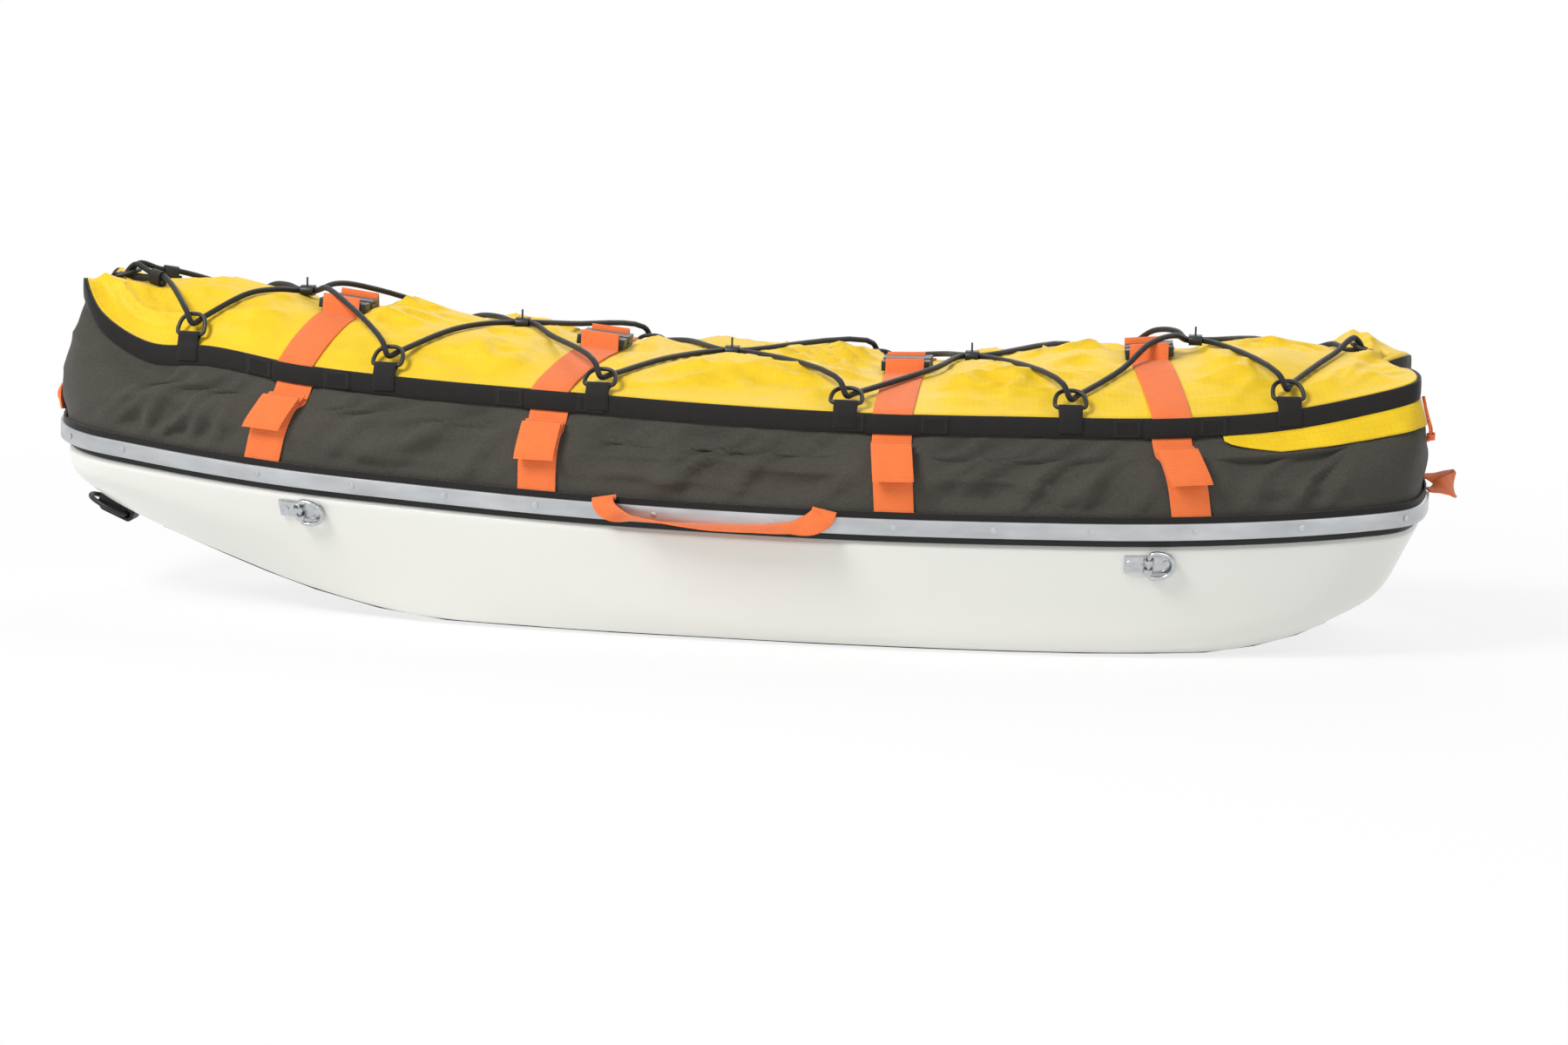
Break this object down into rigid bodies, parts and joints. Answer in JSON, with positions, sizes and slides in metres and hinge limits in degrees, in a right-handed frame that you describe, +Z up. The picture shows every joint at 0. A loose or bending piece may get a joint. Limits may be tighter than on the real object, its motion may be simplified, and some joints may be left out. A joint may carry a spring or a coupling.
{
  "type": "pulk sled",
  "caption": "Pulk sled with a moulded hull, rub rail, laced load bag, orange straps with side release buckles, lashing rings and carry handles.",
  "frame": {"origin": "on the ground under the middle of the whole sled, at the middle of the bounding box", "axes": "+X runs from the bow to the stern, +Y to the side away from the buckles, the sled's right when looking to the bow, +Z up from the ground that the runners stand on"},
  "size_m": [1.5004, 0.5046, 0.3575],
  "materials": {
    "gelcoat": "glossy off-white gelcoat",
    "aluminium": "satin mill aluminium",
    "steel": "bright zinc plated steel",
    "black_steel": "satin black coated steel",
    "rubber": "matt black rubber",
    "black_web": "matt black webbing and braid",
    "grey_cloth": "matt olive grey coated cloth",
    "yellow_cloth": "yellow ripstop cloth with a soft sheen",
    "orange_web": "bright orange ribbed webbing",
    "black_plastic": "satin black moulded plastic"
  },
  "bodies": {
    "sled": {"hull": "gelcoat", "edge_trim": "rubber", "hem_strip": "black_web", "rail_left": "aluminium", "rail_right": "aluminium", "bag_wall": "grey_cloth", "cover": "yellow_cloth", "storm_flap": "yellow_cloth", "runner_left": "black_plastic", "runner_right": "black_plastic", "lacing_band": "black_web", "strap_left_1": "orange_web", "strap_right_1": "orange_web", "buckle_body_1": "black_plastic", "buckle_tongue_1": "black_plastic", "strap_left_2": "orange_web", "strap_right_2": "orange_web", "buckle_body_2": "black_plastic", "buckle_tongue_2": "black_plastic", "strap_left_3": "orange_web", "strap_right_3": "orange_web", "buckle_body_3": "black_plastic", "buckle_tongue_3": "black_plastic", "strap_left_4": "orange_web", "strap_right_4": "orange_web", "buckle_body_4": "black_plastic", "buckle_tongue_4": "black_plastic", "lashing_plate_bow_left": "steel", "lashing_plate_bow_right": "steel", "lashing_plate_stern_left": "steel", "lashing_plate_stern_right": "steel", "tow_block": "rubber", "stern_pull_cord": "orange_web", "lacing_cord": "black_web", "cord_sleeve_left": "rubber", "cord_sleeve_right": "rubber", "cord_tie_1": "black_plastic", "cord_tie_2": "black_plastic", "cord_tie_3": "black_plastic", "cord_tie_4": "black_plastic", "cord_tie_5": "black_plastic"},
    "lashing_ring_bow_left": {"lashing_ring_bow_left": "steel"},
    "lashing_ring_bow_right": {"lashing_ring_bow_right": "steel"},
    "lashing_ring_stern_left": {"lashing_ring_stern_left": "steel"},
    "lashing_ring_stern_right": {"lashing_ring_stern_right": "steel"},
    "tow_loop": {"tow_loop": "black_steel"},
    "handle_left": {"handle_left": "orange_web"},
    "handle_right": {"handle_right": "orange_web"},
    "handle_bow": {"handle_bow": "orange_web"},
    "handle_stern": {"handle_stern": "orange_web"},
    "buckle_latch_1_bow": {"buckle_latch_1_bow": "black_plastic"},
    "buckle_latch_1_stern": {"buckle_latch_1_stern": "black_plastic"},
    "buckle_latch_2_bow": {"buckle_latch_2_bow": "black_plastic"},
    "buckle_latch_2_stern": {"buckle_latch_2_stern": "black_plastic"},
    "buckle_latch_3_bow": {"buckle_latch_3_bow": "black_plastic"},
    "buckle_latch_3_stern": {"buckle_latch_3_stern": "black_plastic"},
    "buckle_latch_4_bow": {"buckle_latch_4_bow": "black_plastic"},
    "buckle_latch_4_stern": {"buckle_latch_4_stern": "black_plastic"}
  },
  "joints": [
    {"name": "lashing_ring_bow_left_hinge", "type": "hinge", "parent": "sled", "child": "lashing_ring_bow_left", "pos_m": [-0.44941, -0.17134, 0.11772], "axis": [0.0507, 0.4671, -0.8827], "range_deg": [0, 165]},
    {"name": "lashing_ring_bow_right_hinge", "type": "hinge", "parent": "sled", "child": "lashing_ring_bow_right", "pos_m": [-0.44941, 0.17134, 0.11772], "axis": [-0.0507, 0.4671, 0.8827], "range_deg": [0, 165]},
    {"name": "lashing_ring_stern_left_hinge", "type": "hinge", "parent": "sled", "child": "lashing_ring_stern_left", "pos_m": [0.4263, -0.21277, 0.10224], "axis": [-0.0282, 0.3283, -0.9442], "range_deg": [0, 165]},
    {"name": "lashing_ring_stern_right_hinge", "type": "hinge", "parent": "sled", "child": "lashing_ring_stern_right", "pos_m": [0.4263, 0.21277, 0.10224], "axis": [0.0282, 0.3283, 0.9442], "range_deg": [0, 165]},
    {"name": "tow_loop_hinge", "type": "hinge", "parent": "sled", "child": "tow_loop", "pos_m": [-0.676, 0, 0.08365], "axis": [0, -1, 0], "range_deg": [0, 150]},
    {"name": "handle_left_hinge", "type": "hinge", "parent": "sled", "child": "handle_left", "pos_m": [-0.01012, -0.23548, 0.15352], "axis": [-0.9987, 0.0484, 0.0171], "range_deg": [0, 115]},
    {"name": "handle_right_hinge", "type": "hinge", "parent": "sled", "child": "handle_right", "pos_m": [-0.01012, 0.23548, 0.15352], "axis": [0.9987, 0.0484, -0.0171], "range_deg": [0, 115]},
    {"name": "handle_bow_hinge", "type": "hinge", "parent": "sled", "child": "handle_bow", "pos_m": [-0.74189, 0, 0.19695], "axis": [0, -1, 0], "range_deg": [0, 110]},
    {"name": "handle_stern_hinge", "type": "hinge", "parent": "sled", "child": "handle_stern", "pos_m": [0.70773, 0, 0.16834], "axis": [0, -1, 0], "range_deg": [-50, 75]},
    {"name": "buckle_latch_1_bow_slide", "type": "slide", "parent": "sled", "child": "buckle_latch_1_bow", "axis": [0.9924, -0.0328, -0.1185], "range_m": [0, 0.002], "stiffness_N_per_m": 600},
    {"name": "buckle_latch_1_stern_slide", "type": "slide", "parent": "sled", "child": "buckle_latch_1_stern", "axis": [-0.9924, 0.0328, 0.1185], "range_m": [0, 0.002], "stiffness_N_per_m": 600},
    {"name": "buckle_latch_2_bow_slide", "type": "slide", "parent": "sled", "child": "buckle_latch_2_bow", "axis": [0.9941, -0.0165, -0.1069], "range_m": [0, 0.002], "stiffness_N_per_m": 600},
    {"name": "buckle_latch_2_stern_slide", "type": "slide", "parent": "sled", "child": "buckle_latch_2_stern", "axis": [-0.9941, 0.0165, 0.1069], "range_m": [0, 0.002], "stiffness_N_per_m": 600},
    {"name": "buckle_latch_3_bow_slide", "type": "slide", "parent": "sled", "child": "buckle_latch_3_bow", "axis": [0.9998, 0.0028, 0.0218], "range_m": [0, 0.002], "stiffness_N_per_m": 600},
    {"name": "buckle_latch_3_stern_slide", "type": "slide", "parent": "sled", "child": "buckle_latch_3_stern", "axis": [-0.9998, -0.0028, -0.0218], "range_m": [0, 0.002], "stiffness_N_per_m": 600},
    {"name": "buckle_latch_4_bow_slide", "type": "slide", "parent": "sled", "child": "buckle_latch_4_bow", "axis": [0.9939, 0.0226, 0.1077], "range_m": [0, 0.002], "stiffness_N_per_m": 600},
    {"name": "buckle_latch_4_stern_slide", "type": "slide", "parent": "sled", "child": "buckle_latch_4_stern", "axis": [-0.9939, -0.0226, -0.1077], "range_m": [0, 0.002], "stiffness_N_per_m": 600}
  ],
  "couplings": [
    {"joint": "buckle_latch_1_stern_slide", "follows": "buckle_latch_1_bow_slide", "ratio": 1},
    {"joint": "buckle_latch_2_stern_slide", "follows": "buckle_latch_2_bow_slide", "ratio": 1},
    {"joint": "buckle_latch_3_stern_slide", "follows": "buckle_latch_3_bow_slide", "ratio": 1},
    {"joint": "buckle_latch_4_stern_slide", "follows": "buckle_latch_4_bow_slide", "ratio": 1}
  ]
}
